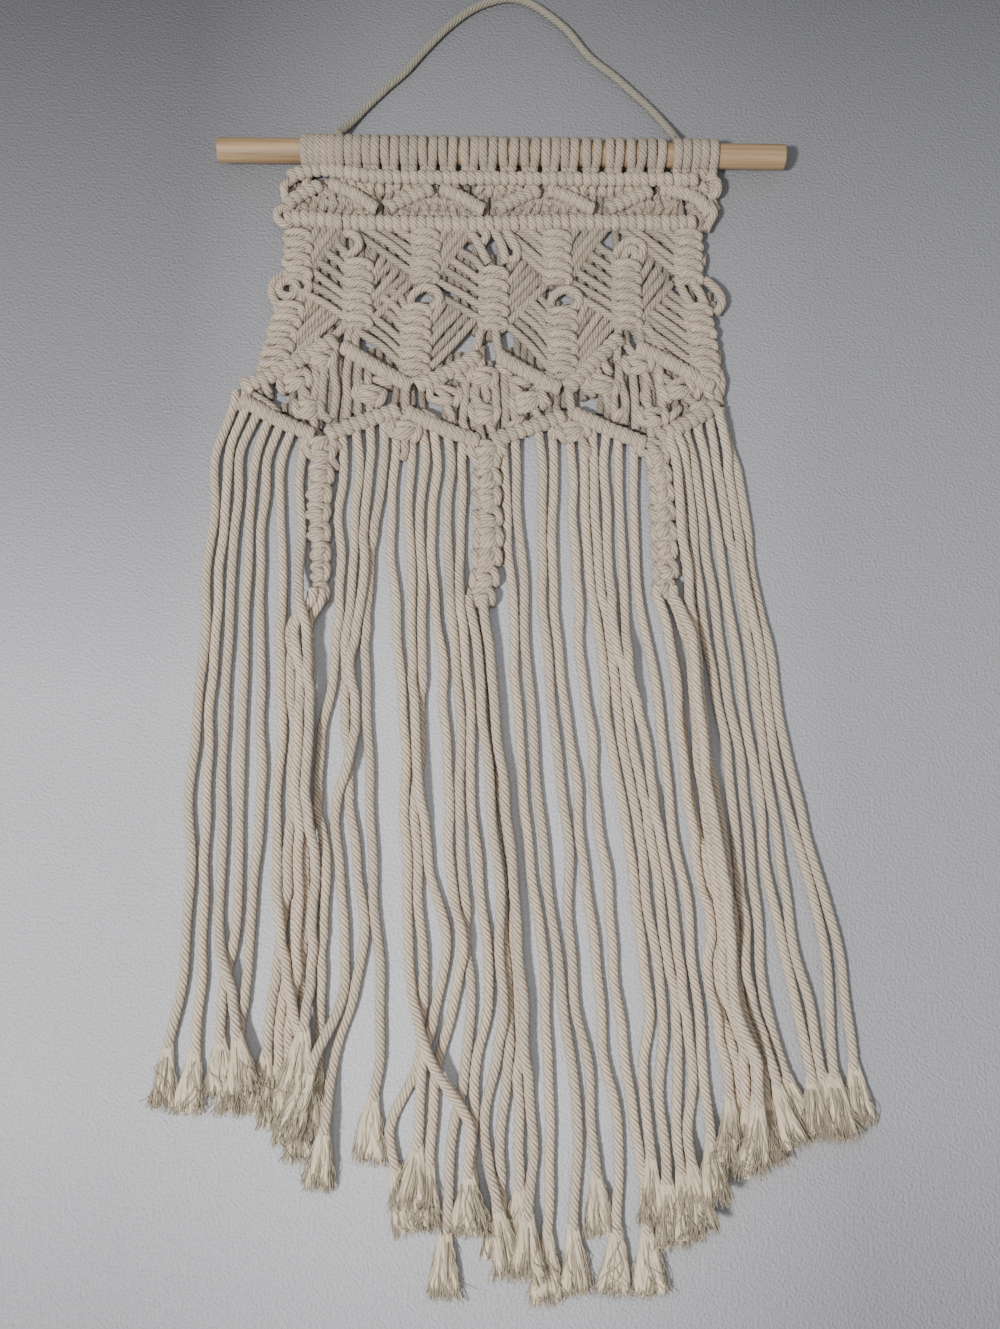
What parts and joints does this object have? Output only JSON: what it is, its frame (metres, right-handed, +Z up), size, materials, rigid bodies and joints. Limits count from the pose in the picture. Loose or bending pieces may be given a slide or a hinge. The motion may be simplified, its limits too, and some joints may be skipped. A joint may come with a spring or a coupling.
{
  "type": "macrame wall hanging with dowel",
  "caption": "Knotted cotton cord wall hanging on a plain wooden dowel, with zigzag net, hanging sennits, a long frayed fringe and a cord loop to hang it by.",
  "frame": {"origin": "bottom centre of the hanging as it lies face up, measured without the cord loop it is hung by", "axes": "+Z up from the surface it lies on, X along the dowel, +Y from the fringe towards the dowel and the hanging cord"},
  "size_m": [0.3326, 0.6723, 0.0231],
  "materials": {
    "dowel_wood": "plain sanded wood with a fine grain",
    "heading_cord": "twisted natural cotton cord, matte",
    "panel_cord": "twisted natural cotton cord, matte",
    "sennit_cord": "twisted natural cotton cord, matte",
    "fringe_cord": "twisted natural cotton cord with brushed, frayed ends, matte",
    "loop_cord": "twisted natural cotton cord, matte"
  },
  "bodies": {
    "root": {"dowel": "dowel_wood", "heading_main": "heading_cord", "heading_short": "heading_cord", "knotted_panel": "panel_cord", "sennit_left": "sennit_cord", "sennit_centre": "sennit_cord", "sennit_right": "sennit_cord", "fringe": "fringe_cord", "hanging_cord": "loop_cord"}
  },
  "joints": []
}
